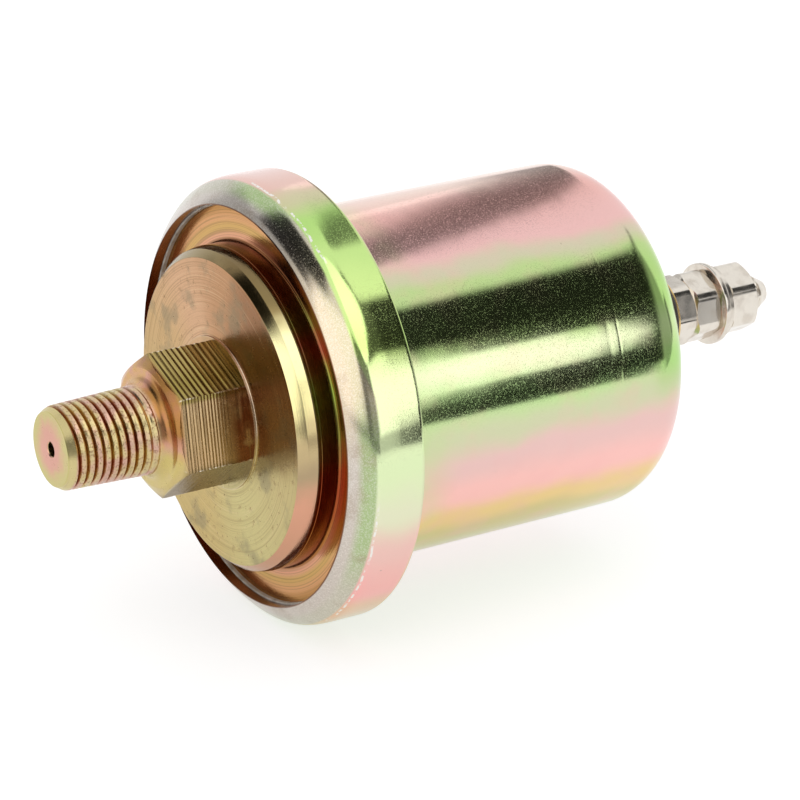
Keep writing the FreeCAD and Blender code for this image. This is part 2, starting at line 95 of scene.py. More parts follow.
def tidyMesh(piece, sharpDeg):
    work = bmesh.new()
    work.from_mesh(piece.data)
    bmesh.ops.remove_doubles(work, verts=work.verts, dist=meshLimits["weld"] * mm)
    bmesh.ops.dissolve_degenerate(work, edges=work.edges, dist=meshLimits["slim"] * mm)
    loose = [v for v in work.verts if not v.link_faces]
    bmesh.ops.delete(work, geom=loose, context="VERTS")
    bmesh.ops.recalc_face_normals(work, faces=work.faces)
    for face in work.faces:
        face.smooth = True
    for edge in work.edges:
        if len(edge.link_faces) == 2 and edge.calc_face_angle(0) > math.radians(sharpDeg):
            edge.smooth = False
    work.to_mesh(piece.data)
    work.free()


# rows are functions of the angle that give (x, radius); each row is joined to the next
def gridAround(rows, angles, closed=True):
    points = []
    faces = []
    count = len(angles)
    for row in rows:
        for angle in angles:
            x, r = row(angle)
            points.append((x, r * math.cos(angle), r * math.sin(angle)))
    lastRow = len(rows) if closed else len(rows) - 1
    for j in range(lastRow):
        a = j * count
        b = ((j + 1) % len(rows)) * count
        for i in range(count):
            k = (i + 1) % count
            faces.append((a + i, a + k, b + k, b + i))
    return points, faces


def ring(x, r):
    return lambda angle: (x, r)


def evenAngles(count, startDeg=0.0):
    return [math.radians(startDeg) + fullTurn * i / count for i in range(count)]


# rounds the corners of a closed (x, radius) outline: each point is (x, r) or (x, r, corner radius)
def roundedOutline(outline, steps=4):
    result = []
    count = len(outline)
    for i, corner in enumerate(outline):
        here = Vector(corner[:2])
        if len(corner) < 3:
            result.append(tuple(here))
            continue
        before = Vector(outline[i - 1][:2]) - here
        after = Vector(outline[(i + 1) % count][:2]) - here
        half = before.angle(after) / 2
        if half > meshLimits["straight"]:
            result.append(tuple(here))
            continue
        longest = min(before.length, after.length) * meshLimits["cornerShare"]
        reach = min(corner[2] / math.tan(half), longest)
        radius = reach * math.tan(half)
        middle = here + (before.normalized() + after.normalized()).normalized() * (radius / math.sin(half))
        start = here + before.normalized() * reach - middle
        end = here + after.normalized() * reach - middle
        sweep = start.angle(end)
        for k in range(steps + 1):
            share = k / steps
            spot = start * math.sin(sweep * (1 - share)) + end * math.sin(sweep * share)
            result.append(tuple(middle + spot / math.sin(sweep)))
    return result


def turnedPiece(name, outline, segments=128, steps=4, sharpDeg=32, shift=None):
    rows = []
    for x, r in roundedOutline(outline, steps):
        if shift:
            rows.append(lambda angle, x=x, r=r: shift(x, r, angle))
        else:
            rows.append(ring(x, r))
    points, faces = gridAround(rows, evenAngles(segments))
    return makeObject(name, points, faces, sharpDeg)


def unevenness(x, y, z, size, seed=0.0):
    return noise.noise(Vector((x / size + seed, y / size - seed, z / size + 0.37 * seed)))


# one-piece fitting: taper thread, hexagon and round boss

fittingSizes = {
    "stemLength": 11.0, "stemBigR": 5.2, "taper": 1 / 32, "tipChamfer": 0.9, "tipChamferDepth": 0.56,
    "pitch": 1.0, "threadDepth": 0.42, "crestWidth": 0.50, "flankWidth": 0.21,
    "crestRough": 0.035, "crestRoughSize": 0.45, "crestWear": 0.02,
    "fadeFrom": -1.9, "fadeTo": 0.5, "threadEnd": 0.6, "neckR": 1.3, "neckSteps": 8,
    "inletR": 0.85, "inletEdge": 0.12, "inletDepth": 3.0, "passageR": 1.75,
    "hexCorner": 8.6, "hexTurn": 21.0, "hexLength": 8.8, "hexLand": 0.5, "hexSlope": 0.575, "hexRows": 108,
    "landStep": 0.02, "landDrop": 0.06, "segmentsPerFlat": 40,
    "collarR": 9.0, "collarThickness": 0.28, "faceR": 18.02, "faceMarkR": 17.42,
    "chamferLength": 0.92, "chamferRise": 0.83, "bossHeight": 4.83, "bossRise": 1.08, "wallStart": 2.02,
    "wallGroove": 2.52, "wallGrooveHalf": 0.04, "wallGrooveDepth": 0.03,
    "stepR": 23.35, "stepDepth": 1.05, "flangeR": 25.38, "flangeThickness": 3.0,
    "chamberR": 13.5, "chamberDepth": 1.2,
}

# milling lines on the flats by number: spacing, depth and how far along they reach
flatLines = {
    0: (0.55, 0.020, 10.1), 1: (0.67, 0.075, 10.6), 2: (0.40, 0.030, 7.6),
    3: (0.30, 0.026, 10.1), 4: (0.45, 0.030, 10.1), 5: (0.60, 0.040, 9.0),
}

hexMarks = {
    "lineShape": 0.6, "wobble": 0.6, "fadeLength": 1.6, "fadeRest": 0.08,
    "burr": 0.03, "burrFromDeg": 29.4, "easing": 0.05,
}


def stemRadius(x, s):
    if x > 0:
        return s["stemBigR"] + s["neckR"] - math.sqrt(max(0, s["neckR"] ** 2 - x * x))
    return s["stemBigR"] + x * s["taper"]


def threadedRadius(x, angle, s):
    major = stemRadius(x, s)
    phase = ((x - s["pitch"] * angle / fullTurn) / s["pitch"]) % 1.0
    crest = s["crestWidth"]
    flank = s["flankWidth"]
    if phase < crest:
        depth = 0.0
    elif phase < crest + flank:
        depth = (phase - crest) / flank
    elif phase < 1 - flank:
        depth = 1.0
    else:
        depth = (1 - phase) / flank
    fade = min(1.0, max(0.0, (s["fadeTo"] - x) / (s["fadeTo"] - s["fadeFrom"])))
    wear = 0.0
    if phase < crest and x < 0:
        rough = unevenness(x, math.cos(angle) * 5, math.sin(angle) * 5, s["crestRoughSize"], 3.0)
        wear = s["crestRough"] * rough - s["crestWear"]
    tipX = -s["stemLength"]
    tipR = stemRadius(tipX + s["tipChamfer"], s) - s["tipChamferDepth"]
    chamfer = tipR + (x - tipX) * s["tipChamferDepth"] / s["tipChamfer"]
    return min(chamfer, major - s["threadDepth"] * depth * fade + wear, major)


# the stem's skin follows the helix, so that crest and root edges stay clean
def stemGrid(s, segments):
    crest = s["crestWidth"]
    flank = s["flankWidth"]
    stations = [0.0, crest * 0.33, crest * 0.66, crest, crest + flank / 2, crest + flank,
                (crest + flank + 1 - flank) / 2, 1 - flank, 1 - flank / 2]
    low = -s["stemLength"]
    high = s["threadEnd"]
    turns = range(int(math.floor(low)) - 2, int(math.ceil(high)) + 1)
    points = []
    faces = []
    rowCount = 0
    for turn in turns:
        for station in stations:
            for i in range(segments + 1):
                angle = fullTurn * i / segments
                x = min(high, max(low, s["pitch"] * (turn + station + i / segments)))
                r = threadedRadius(x, angle, s)
                points.append((x, r * math.cos(angle), r * math.sin(angle)))
            rowCount += 1
    width = segments + 1
    for j in range(rowCount - 1):
        for i in range(segments):
            a = j * width + i
            faces.append((a, a + 1, a + width + 1, a + width))
    return points, faces


# the hexagon's radius; with no x, before milling lines
def flatRadius(angle, x, s):
    marks = hexMarks
    sector = math.radians(60)
    offset = (angle - math.radians(s["hexTurn"])) % fullTurn
    number = int(offset // sector) % 6
    inFlat = offset % sector - sector / 2
    apothem = s["hexCorner"] * math.cos(math.radians(30))
    if x is not None:
        spacing, depth, reach = flatLines[number]
        wave = 0.5 + 0.5 * math.sin(fullTurn * x / spacing + 1.7 * number)
        wobble = 0.7 + marks["wobble"] * noise.noise(Vector((x * 2.1, number * 3.0, 0.4)))
        fade = min(1.0, max(0.0, (reach - x) / marks["fadeLength"] + marks["fadeRest"]))
        apothem -= depth * (wave ** marks["lineShape"]) * wobble * fade
    burr = 0.0
    if abs(inFlat) > math.radians(marks["burrFromDeg"]):
        burr = marks["burr"] * noise.noise(Vector(((x or 0) * 3.1, number * 2.0, 1.3)))
    return apothem / math.cos(inFlat) - marks["easing"] + burr


def makeFitting():
    s = fittingSizes
    segments = 6 * s["segmentsPerFlat"]
    shoulder = s["neckR"]
    landR = s["stemBigR"] + s["neckR"] + s["hexLand"]
    landX = shoulder + s["landStep"]
    hexEnd = shoulder + s["hexLength"]
    collarX = hexEnd + s["collarThickness"]
    annulusX = collarX + s["bossHeight"]
    tipX = -s["stemLength"]

    rows = []
    firstTurn = math.asin(s["threadEnd"] / s["neckR"])
    for k in range(s["neckSteps"] + 1):
        turn = firstTurn + (math.pi / 2 - firstTurn) * k / s["neckSteps"]
        rows.append(ring(s["neckR"] * math.sin(turn), s["stemBigR"] + s["neckR"] * (1 - math.cos(turn))))
    rows += [ring(shoulder, landR - s["landDrop"]), ring(landX, landR)]

    def coneRow(share):
        def row(angle):
            r = landR + (flatRadius(angle, None, s) - landR) * share
            return (landX + (r - landR) * s["hexSlope"], r)
        return row

    def hexRow(x):
        def row(angle):
            place = max(x, coneRow(1.0)(angle)[0] + 0.03)
            return (place, flatRadius(angle, place, s))
        return row

    rows += [coneRow(share) for share in (0.25, 0.5, 0.75, 0.96, 1.0)]
    hexStart = shoulder + 0.25
    for k in range(s["hexRows"] + 1):
        rows.append(hexRow(hexStart + (hexEnd - hexStart) * k / s["hexRows"]))

    # collar, then the boss's face with a fine turned mark near its edge
    faceR = s["faceR"]
    outline = [(hexEnd, s["collarR"], 0.05), (collarX, s["collarR"], 0.04)]
    outline += [(collarX, r) for r in (10.4, 12.0, 13.8, 15.4, 16.6, 17.3)]
    outline += [(collarX - 0.004, s["faceMarkR"]), (collarX, s["faceMarkR"] + 0.13), (collarX, faceR, 0.06)]
    # chamfer and wall, and the annulus round it
    bossR = faceR + s["bossRise"]
    grooveX = collarX + s["wallGroove"]
    outline += [(collarX + s["chamferLength"], faceR + s["chamferRise"], 0.12),
                (collarX + s["wallStart"], bossR, 0.3),
                (grooveX - s["wallGrooveHalf"], bossR), (grooveX, bossR - s["wallGrooveDepth"]),
                (grooveX + s["wallGrooveHalf"], bossR), (annulusX, bossR, 0.4)]
    outline += [(annulusX, r) for r in (20.4, 21.3, 22.2, 23.0)]
    # flange under the can's lip, the oil's chamber behind it and the passage through the stem
    flangeBack = annulusX + s["flangeThickness"]
    chamberX = flangeBack - s["chamberDepth"]
    inletX = tipX + s["inletDepth"]
    outline += [(annulusX, s["stepR"]), (annulusX + s["stepDepth"], s["stepR"]),
                (annulusX + s["stepDepth"], s["flangeR"]), (flangeBack, s["flangeR"]), (flangeBack, s["chamberR"]),
                (chamberX, s["chamberR"] - s["chamberDepth"]), (chamberX, s["passageR"]),
                (inletX, s["passageR"]), (inletX, s["inletR"]), (tipX + s["inletEdge"], s["inletR"]),
                (tipX, s["inletR"] + s["inletEdge"]), (tipX, 2.2), (tipX, 3.4)]
    rows += [ring(x, r) for x, r in roundedOutline(outline, 4)]
    rows.append(ring(tipX, threadedRadius(tipX, 0, s)))

    # all rows start at the hexagon's corner, so the stem's skin is turned to match
    points, faces = gridAround(rows, evenAngles(segments, s["hexTurn"]), closed=False)
    stemPoints, stemFaces = stemGrid(s, segments)
    turn = math.radians(s["hexTurn"])
    base = len(points)
    for x, y, z in stemPoints:
        points.append((x, y * math.cos(turn) - z * math.sin(turn), y * math.sin(turn) + z * math.cos(turn)))
    faces += [tuple(base + k for k in face) for face in stemFaces]
    return makeObject("turned_fitting", points, faces, 28)


# drawn can with its rolled lip

canSizes = {
    "sheet": 1.0, "lipX": 13.4, "lipHoleR": 23.55, "lipBackX": 14.72, "foldX": 16.4,
    "rimR": 26.49, "rimEndX": 21.76, "canR": 21.0, "canEndX": 62.91, "shoulderR": 4.85, "shoulderFull": 0.965,
    "shoulderSteps": 18, "endHoleR": 3.6, "bendR": 1.2, "segments": 256,
    # how far the lip and rim lean forward, in degrees, by place
    "lean": [(13.42, 62), (13.9, 52), (15.2, 42), (15.6, 34), (16.1, 17), (16.8, 5), (17.6, 1), (19.0, 0)],
    "leanSteps": 6,
    "crownFrom": 53.0, "crown": 0.03, "barrelDrop": 0.02, "lipWave": 0.05, "barrelWave": 0.02,
    # fine marks left by the drawing die: place, width and depth, on the side at drawTurn
    "drawMarks": [(52.4, 0.14, 0.005), (51.0, 0.4, 0.003)], "drawTurn": 2.76, "drawSpread": 0.42,
}


def canShift(x, r, angle):
    s = canSizes
    y = 20 * math.cos(angle)
    z = 20 * math.sin(angle)
    if r > 23 and x < 17:
        # the rolled lip is a little uneven
        wave = s["lipWave"] * unevenness(x, y, z, 9.0, 5.0)
        return (x + wave * 0.8 * (17 - x) / 4, r + min(0.0, wave * 0.5))
    if x > 57.95 and r > 16:
        r -= (s["crown"] + s["barrelDrop"]) * (r - 16) / 5
    if 23 < x < 57.95 and r > 20.5:
        r -= s["crown"] * (max(0.0, x - s["crownFrom"]) / 5) ** 2
        mark = sum(depth * math.exp(-((x - place) / width) ** 2) for place, width, depth in s["drawMarks"])
        mark *= math.exp(-((angle - s["drawTurn"]) / s["drawSpread"]) ** 2)
        fade = max(0.0, min(1.0, (57.0 - x) / 4))
        wave = s["barrelWave"] * unevenness(x * 0.3, y, z, 12.0, 2.0) * fade
        return (x, r - s["barrelDrop"] + wave - mark)
    return (x, r)


def makeCan():
    s = canSizes
    inner = s["rimR"] - s["sheet"]
    innerCan = s["canR"] - s["sheet"]
    endInner = s["canEndX"] - s["sheet"]
    # the rolled lip and the rim are one curve, drawn by how far it leans forward
    curve = []
    steps = s["leanSteps"]
    for (x0, lean0), (x1, lean1) in zip(s["lean"], s["lean"][1:]):
        for k in range(steps):
            curve.append((x0 + (x1 - x0) * k / steps, lean0 + (lean1 - lean0) * k / steps))
    curve.append(s["lean"][-1])
    radius = s["rimR"]
    lip = [(curve[-1][0], radius)]
    for (x0, lean0), (x1, lean1) in reversed(list(zip(curve, curve[1:]))):
        radius -= (x1 - x0) * math.tan(math.radians((lean0 + lean1) / 2))
        lip.append((x0, radius))
    lip.reverse()
    outline = [(s["lipX"] + 0.06, s["lipHoleR"], 0.1), (s["lipX"] - 0.03, lip[0][1] - 0.03, 0.1)] + lip
    outline += [(20.4, s["rimR"]), (21.25, s["rimR"]), (s["rimEndX"], s["rimR"], 0.4)]
    outline += [(s["rimEndX"], s["canR"], s["bendR"])]
    # rings along the barrel, close together at the drawing marks
    barrel = [23.2 + 1.45 * k for k in range(18)] + [50.6 + 0.1 * k for k in range(26)] + [54.0, 56.0, 57.0, 57.6]
    outline += [(x, s["canR"]) for x in barrel]
    for k in range(s["shoulderSteps"] + 1):
        turn = math.radians(90 - 90 * k / s["shoulderSteps"])
        along = max(0.0, math.cos(turn)) ** s["shoulderFull"]
        out = max(0.0, math.sin(turn)) ** s["shoulderFull"]
        outline.append((s["canEndX"] - s["shoulderR"] * (1 - along), s["canR"] - s["shoulderR"] * (1 - out)))
    outline += [(s["canEndX"], 12.0), (s["canEndX"], 8.0), (s["canEndX"], s["endHoleR"]),
                (endInner, s["endHoleR"]), (endInner, 15.0, 4.0), (endInner, innerCan, 4.0),
                (s["rimEndX"] + s["bendR"], innerCan), (s["rimEndX"] - s["sheet"], s["canR"] + s["bendR"]),
                (s["rimEndX"] - s["sheet"], inner), (s["foldX"], inner), (s["lipBackX"], s["lipHoleR"] + 0.02)]
    return turnedPiece("drawn_can", outline, s["segments"], 5, 40, canShift)


packingSizes = {"frontX": 14.72, "seatX": 16.33, "innerR": 23.36, "lipR": 23.66, "outerR": 25.38, "rounding": 0.1}


def makePackingRing():
    s = packingSizes
    outline = [(s["seatX"], s["innerR"]), (s["frontX"], s["innerR"], s["rounding"]),
               (s["frontX"], s["lipR"], s["rounding"]), (s["seatX"] - 0.1, s["outerR"] - 0.08),
               (s["seatX"], s["outerR"])]
    return turnedPiece("grey_packing", outline, 192, 3)


# terminal: stud, nuts and washers

terminalSizes = {
    "studR": 2.45, "pitch": 0.8, "threadDepth": 0.40, "tipLength": 1.8, "tipR": 1.45, "endR": 0.9,
    "headR": 4.5, "headLength": 2.0, "headEdge": 0.1, "smoothLength": 11.0, "rowStep": 0.1,
    "nutFlats": 8.0, "nutTurns": {"clamp_nut": 5.0, "middle_nut": 22.5, "terminal_nut": 26.0},
    "nutChamfer": 0.72125, "nutTop": 0.97, "nutCornerCut": 0.22, "nutHoleEdge": 0.35, "nutFaceInset": 0.005,
    "washerGap": 0.05, "washerRoundings": (0.12, 0.16, 0.08),
}


def span(node):
    low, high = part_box(node)
    return low[0] / mm, high[0] / mm


def makeNut(node):
    s = terminalSizes
    x0, x1 = span(node)
    corner = s["nutFlats"] / math.sqrt(3) - s["nutCornerCut"]
    apothem = s["nutFlats"] / 2
    top = apothem * s["nutTop"]
    near = x0 + s["nutFaceInset"]
    far = x1 - s["nutFaceInset"]

    def hexR(angle):
        sector = math.radians(60)
        inFlat = (angle - math.radians(s["nutTurns"][node])) % sector - sector / 2
        return min(apothem / math.cos(inFlat), corner)

    def edgeRow(x, sign, share):
        def row(angle):
            r = top + (hexR(angle) - top) * share
            return (x + sign * (r - top) * s["nutChamfer"], r)
        return row

    def side(share):
        def row(angle):
            low = edgeRow(near, 1, 1.0)(angle)[0]
            high = edgeRow(far, -1, 1.0)(angle)[0]
            return (low + (high - low) * share, hexR(angle))
        return row

    holeR = s["studR"] - 0.02
    edge = s["nutHoleEdge"]
    rows = [ring(x0 + edge, holeR), ring(x0, holeR + edge), ring(x0, top - 0.1), ring(near, top)]
    rows += [edgeRow(near, 1, share) for share in (0.3, 0.6, 0.92, 1.0)]
    rows += [side(share) for share in (0.04, 0.3, 0.7, 0.96)]
    rows += [edgeRow(far, -1, share) for share in (1.0, 0.92, 0.6, 0.3)]
    rows += [ring(far, top), ring(x1, top - 0.1), ring(x1, holeR + edge), ring(x1 - edge, holeR)]
    points, faces = gridAround(rows, evenAngles(96, s["nutTurns"][node]))
    return makeObject("plated_" + node, points, faces, 25)


def makeWasher(node, name):
    low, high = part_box(node)
    outer = high[1] / mm
    inner = terminalSizes["studR"] + terminalSizes["washerGap"]
    near, far, hole = terminalSizes["washerRoundings"]
    x0, x1 = span(node)
    outline = [(x0, inner), (x0, outer, near), (x1, outer, far), (x1, inner, hole)]
    return turnedPiece(name, outline, 96, 4)


def makeStud():
    s = terminalSizes
    x0, x1 = span("terminal_stud")
    headEnd = x0 + s["headLength"]
    edge = s["headEdge"]

    def studRadius(x, angle):
        phase = ((x - s["pitch"] * angle / fullTurn) / s["pitch"]) % 1.0
        depth = 0.0
        if x > x0 + s["smoothLength"]:
            depth = s["threadDepth"] * (0.5 - 0.5 * math.cos(fullTurn * phase))
        taper = s["studR"] - (s["studR"] - s["tipR"]) * max(0.0, (x - x1 + s["tipLength"]) / s["tipLength"])
        return min(s["studR"] - depth, taper)

    rows = [ring(x0, meshLimits["centreR"]), ring(x0, s["headR"] - edge), ring(x0 + edge, s["headR"]),
            ring(headEnd - edge, s["headR"]), ring(headEnd, s["headR"] - edge), ring(headEnd, s["studR"])]
    steps = int((x1 - x0 - s["headLength"]) / s["rowStep"])
    for k in range(1, steps + 1):
        x = headEnd + (x1 - headEnd) * k / steps
        rows.append(lambda angle, x=x: (x, studRadius(x, angle)))
    rows += [ring(x1, s["endR"]), ring(x1, meshLimits["centreR"])]
    points, faces = gridAround(rows, evenAngles(64), closed=False)
    return makeObject("threaded_stud", points, faces, 40)


bushSizes = {"boreR": 2.5, "spigotR": 3.55, "spigotLength": 1.0, "flangeR": 8.0, "flangeEnd": 2.6, "bodyR": 6.0}


def makeBush():
    s = bushSizes
    x0, x1 = span("insulating_bush")
    flangeX = x0 + s["spigotLength"]
    bodyX = x0 + s["flangeEnd"]
    outline = [(x0, s["boreR"]), (x0, s["spigotR"]), (flangeX, s["spigotR"]), (flangeX, s["flangeR"], 0.25),
               (bodyX, s["flangeR"], 0.4), (bodyX, s["bodyR"], 0.5), (x1, s["bodyR"], 0.6), (x1, s["boreR"])]
    return turnedPiece("moulded_bush", outline, 96, 4)


# the coil round the pad's rod, with closed end turns

springSizes = {
    "coilR": 4.2, "wireR": 0.45, "turns": 5.0, "endTurns": 0.8, "endPitch": 0.98, "stepsPerTurn": 40, "sides": 14,
}


def makeSpring():
    s = springSizes
    x0, x1 = span("return_spring")
    freeTurns = s["turns"] - 2 * s["endTurns"]
    freePitch = (x1 - x0 - 2 * s["wireR"] - 2 * s["endTurns"] * s["endPitch"]) / freeTurns
    points = []
    steps = int(s["turns"] * s["stepsPerTurn"])
    for i in range(steps + 1):
        turn = s["turns"] * i / steps
        free = min(max(turn - s["endTurns"], 0.0), freeTurns)
        x = x0 + s["wireR"] + (turn - free) * s["endPitch"] + free * freePitch
        angle = fullTurn * turn
        for k in range(s["sides"]):
            around = fullTurn * k / s["sides"]
            r = s["coilR"] + s["wireR"] * math.cos(around)
            points.append((x + s["wireR"] * math.sin(around), r * math.cos(angle), r * math.sin(angle)))
    count = s["sides"]
    faces = [tuple(range(count)), tuple(steps * count + k for k in reversed(range(count)))]
    for i in range(steps):
        for k in range(count):
            a = i * count + k
            b = i * count + (k + 1) % count
            faces.append((a, a + count, b + count, b))
    return makeObject("coil_spring", points, faces, 40)


pieces = {
    "base_fitting": makeFitting(),
    "housing_can": makeCan(),
    "packing_ring": makePackingRing(),
    "terminal_stud": makeStud(),
    "insulating_bush": makeBush(),
    "seat_washer": makeWasher("seat_washer", "brass_washer"),
    "flat_washer": makeWasher("flat_washer", "plain_washer"),
    "clamp_nut": makeNut("clamp_nut"),
    "middle_nut": makeNut("middle_nut"),
    "terminal_nut": makeNut("terminal_nut"),
    "return_spring": makeSpring(),
}
for node, piece in pieces.items():
    if node == "return_spring":
        # it closes up as the pad slides towards the frame
        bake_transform(piece)
    else:
        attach(piece, "root")
    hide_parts(node)
print("pieces made:", len(pieces))


# node tools: each call adds its nodes and returns the output

class NodeSheet:
    def __init__(self, owner, outputKind):
        owner.use_nodes = True
        self.owner = owner
        self.tree = owner.node_tree
        self.tree.nodes.clear()
        self.output = self.tree.nodes.new(outputKind)

    def link(self, socket, value):
        if isinstance(value, bpy.types.NodeSocket):
            self.tree.links.new(value, socket)
        else:
            socket.default_value = value

    def add(self, kind, *values, **settings):
        node = self.tree.nodes.new("ShaderNode" + kind)
        for name, value in settings.items():
            setattr(node, name, value)
        for socket, value in zip(node.inputs, values):
            if value is not None:
                self.link(socket, value)
        return node

    def math(self, kind, a, b=None, c=None):
        return self.add("Math", a, b, c, operation=kind).outputs[0]

    def product(self, first, *others):
        for other in others:
            first = self.math("MULTIPLY", first, other)
        return first

    def vector(self, kind, a, b):
        node = self.add("VectorMath", a, b, operation=kind)
        return node.outputs["Value" if kind == "DOT_PRODUCT" else "Vector"]

    def join(self, x, y, z):
        return self.add("CombineXYZ", x, y, z).outputs[0]

    def split(self, place):
        return self.add("SeparateXYZ", place).outputs

    # 0 at low, 1 at high, smooth between; high may be the smaller one
    def step(self, value, low, high):
        limits = (low, high, 0.0, 1.0) if low < high else (high, low, 1.0, 0.0)
        return self.add("MapRange", value, *limits, interpolation_type="SMOOTHSTEP").outputs[0]

    # rises from 0 to 1 between the first two values and falls again between the last two
    def stretch(self, value, riseFrom, riseTo, fallFrom, fallTo):
        return self.product(self.step(value, riseFrom, riseTo), self.step(value, fallTo, fallFrom))

    def ramp(self, value, low, high, stops):
        node = self.add("ValToRGB", self.add("MapRange", value, low, high).outputs[0])
        node.color_ramp.interpolation = "EASE"
        points = node.color_ramp.elements
        points.remove(points[1])
        points[0].position = (stops[0][0] - low) / (high - low)
        points[0].color = tint(stops[0][1])
        for at, colour in stops[1:]:
            points.new((at - low) / (high - low)).color = tint(colour)
        return node.outputs[0]

    def mix(self, share, a, b):
        node = self.add("Mix", share, data_type="RGBA", clamp_factor=True)
        self.link(node.inputs[6], tint(a) if isinstance(a, str) else a)
        self.link(node.inputs[7], tint(b) if isinstance(b, str) else b)
        return node.outputs[2]

    # lays a (colour, strength) pair over what is below
    def cover(self, below, above, share):
        colour, strength = above
        return self.mix(self.math("MULTIPLY", share, strength), below, colour)


# a metal or plastic finish, with the place on the part in millimetres, polar about the X axis
class Finish(NodeSheet):
    def __init__(self, name):
        super().__init__(bpy.data.materials.new(name), "ShaderNodeOutputMaterial")
        place = self.add("TexCoord").outputs["Object"]
        self.place = self.vector("MULTIPLY", place, (1000, 1000, 1000))  # from here on in millimetres
        self.x, y, z = self.split(self.place)
        self.radius = self.math("SQRT", self.math("ADD", self.product(y, y), self.product(z, z)))
        facing = math.radians(facingDeg)
        ahead = self.math("ADD", self.product(y, math.cos(facing)), self.product(z, math.sin(facing)))
        across = self.math("SUBTRACT", self.product(z, math.cos(facing)), self.product(y, math.sin(facing)))
        fromFacing = self.product(self.math("ARCTAN2", across, ahead), 180 / math.pi)
        self.turn = self.math("ADD", fromFacing, facingDeg)  # from -25 to 335 degrees

    def noise(self, size, place=None, detail=2.0, roughness=0.5, seed=0.0):
        node = self.add("TexNoise", noise_dimensions="4D")
        self.link(node.inputs["Vector"], self.place if place is None else place)
        self.link(node.inputs["W"], seed)
        self.link(node.inputs["Scale"], 1 / size)
        self.link(node.inputs["Detail"], detail)
        self.link(node.inputs["Roughness"], roughness)
        return node.outputs["Fac"]

    # noise about zero
    def wander(self, size, width, detail=2.0, seed=0.0):
        return self.product(self.math("SUBTRACT", self.noise(size, detail=detail, seed=seed), 0.5), width)

    # noise drawn out round the axis: its width in millimetres and how fast it changes on the way round
    def streaks(self, value, width, change, detail, seed):
        place = self.join(self.math("DIVIDE", value, width), self.product(self.turn, change), 0.0)
        return self.noise(1.0, place, detail=detail, seed=seed)

    def bands(self, turn, stops):
        return self.ramp(turn, facingDeg - 180, facingDeg + 180, stops)

    def bump(self, height, depth, before=None):
        node = self.add("Bump", 1.0, depth * mm)  # strength and distance
        self.link(node.inputs["Height"], height)
        if before is not None:
            self.link(node.inputs["Normal"], before)
        return node.outputs[0]

    # brushed round the axis: highlights spread out across the turning lines
    def turned(self):
        return self.add("Tangent", direction_type="RADIAL", axis="X").outputs[0]

    def finish(self, colour, metallic, roughness, normal, **sockets):
        shader = self.add("BsdfPrincipled")
        sockets.update({"Base Color": colour, "Metallic": metallic, "Roughness": roughness, "Normal": normal})
        for name, value in sockets.items():
            self.link(shader.inputs[name], value)
        self.link(self.output.inputs[0], shader.outputs[0])
        return self.owner


def tint(code):
    parts = [int(code[i:i + 2], 16) / 255 for i in (0, 2, 4)]
    return tuple(p / 12.92 if p <= 0.04045 else ((p + 0.055) / 1.055) ** 2.4 for p in parts) + (1.0,)


# yellow chromate on zinc: bands of pink, green and gold that follow the angle about the axis

canFinish = {
    "barrelBands": [(-25, "c9b27c"), (30, "e9bdb6"), (62, "efe0d0"), (84, "f0cfc0"), (100, "ebb6ae"),
                    (120, "edbfbb"), (127, "d4cdb0"), (133, "bfd892"), (150, "cfee9a"), (160, "f1fac8"),
                    (172, "c0e298"), (181, "cfd2ac"), (190, "e8c2bd"), (204, "fbc4be"), (214, "efd08e"),
                    (224, "d8c886"), (252, "b5d08a"), (285, "ecb6ae"), (335, "c9b27c")],
    "rimBands": [(-25, "c9b27c"), (40, "d8c9b0"), (76, "eac4bc"), (94, "e6bfb4"), (103, "cfcaa2"),
                 (111, "b5dc80"), (124, "c8e890"), (138, "dcf79c"), (148, "d0ee8c"), (160, "f0fbc0"),
                 (178, "dcecba"), (190, "e2e4c4"), (203, "eec4bc"), (217, "f7b6b2"), (229, "e8c09c"),
                 (262, "b9c98a"), (300, "dfb4a8"), (335, "c9b27c")],
    "lipBands": [(-25, "c4bab0"), (60, "c9c0b8"), (100, "b3aca4"), (135, "dccbae"), (160, "d8c6aa"),
                 (180, "cdc3b8"), (335, "c4bab0")],
    "bandWander": 12.0, "rimEndX": (21.2, 21.9),
    "nearRim": ("c3dc98", 0.55), "nearRimX": (31, 24),
    "blush": ("f0b6b4", 0.22),
    "endGreen": ("9ccf6c", 0.5), "endGreenX": (56.0, 58.3), "endGreenTurn": (128, 142, 172, 186),
    "lipGreen": "9cbd74", "lipGreenR": (24.4, 25.4), "lipGreenTurns": [(76, 90, 102, 112), (158, 172, 196, 222)],
    "lipBrown": ("a08a72", 0.4), "lipGlints": ("fbf6f0", 0.28),
    # where the pale lip ends: earlier on the side of the lamp, later where it is worn bare
    "lipEndX": (15.85, 15.55), "lampTurn": (116, 124, 149, 156), "lampShift": -0.35,
    "bareTurn": (154, 161, 168, 175), "bareShift": 0.6,
    "chip": "efece6", "chipX": 15.95, "chipTurn": (82, 90, 122, 127), "farChipTurn": (180, 188),
    "cutEdge": "7a5238", "cutEdgeR": (23.75, 23.62), "cutEdgeX": (15.2, 15.0),
    "speck": ("4a4436", 0.6),
    "roughness": 0.085, "lipRoughness": 0.07, "speckleRoughness": 0.13, "speckleSize": 0.17,
    "pitSize": 0.2, "pitDepth": 0.0008, "dentDepth": 0.010,
}


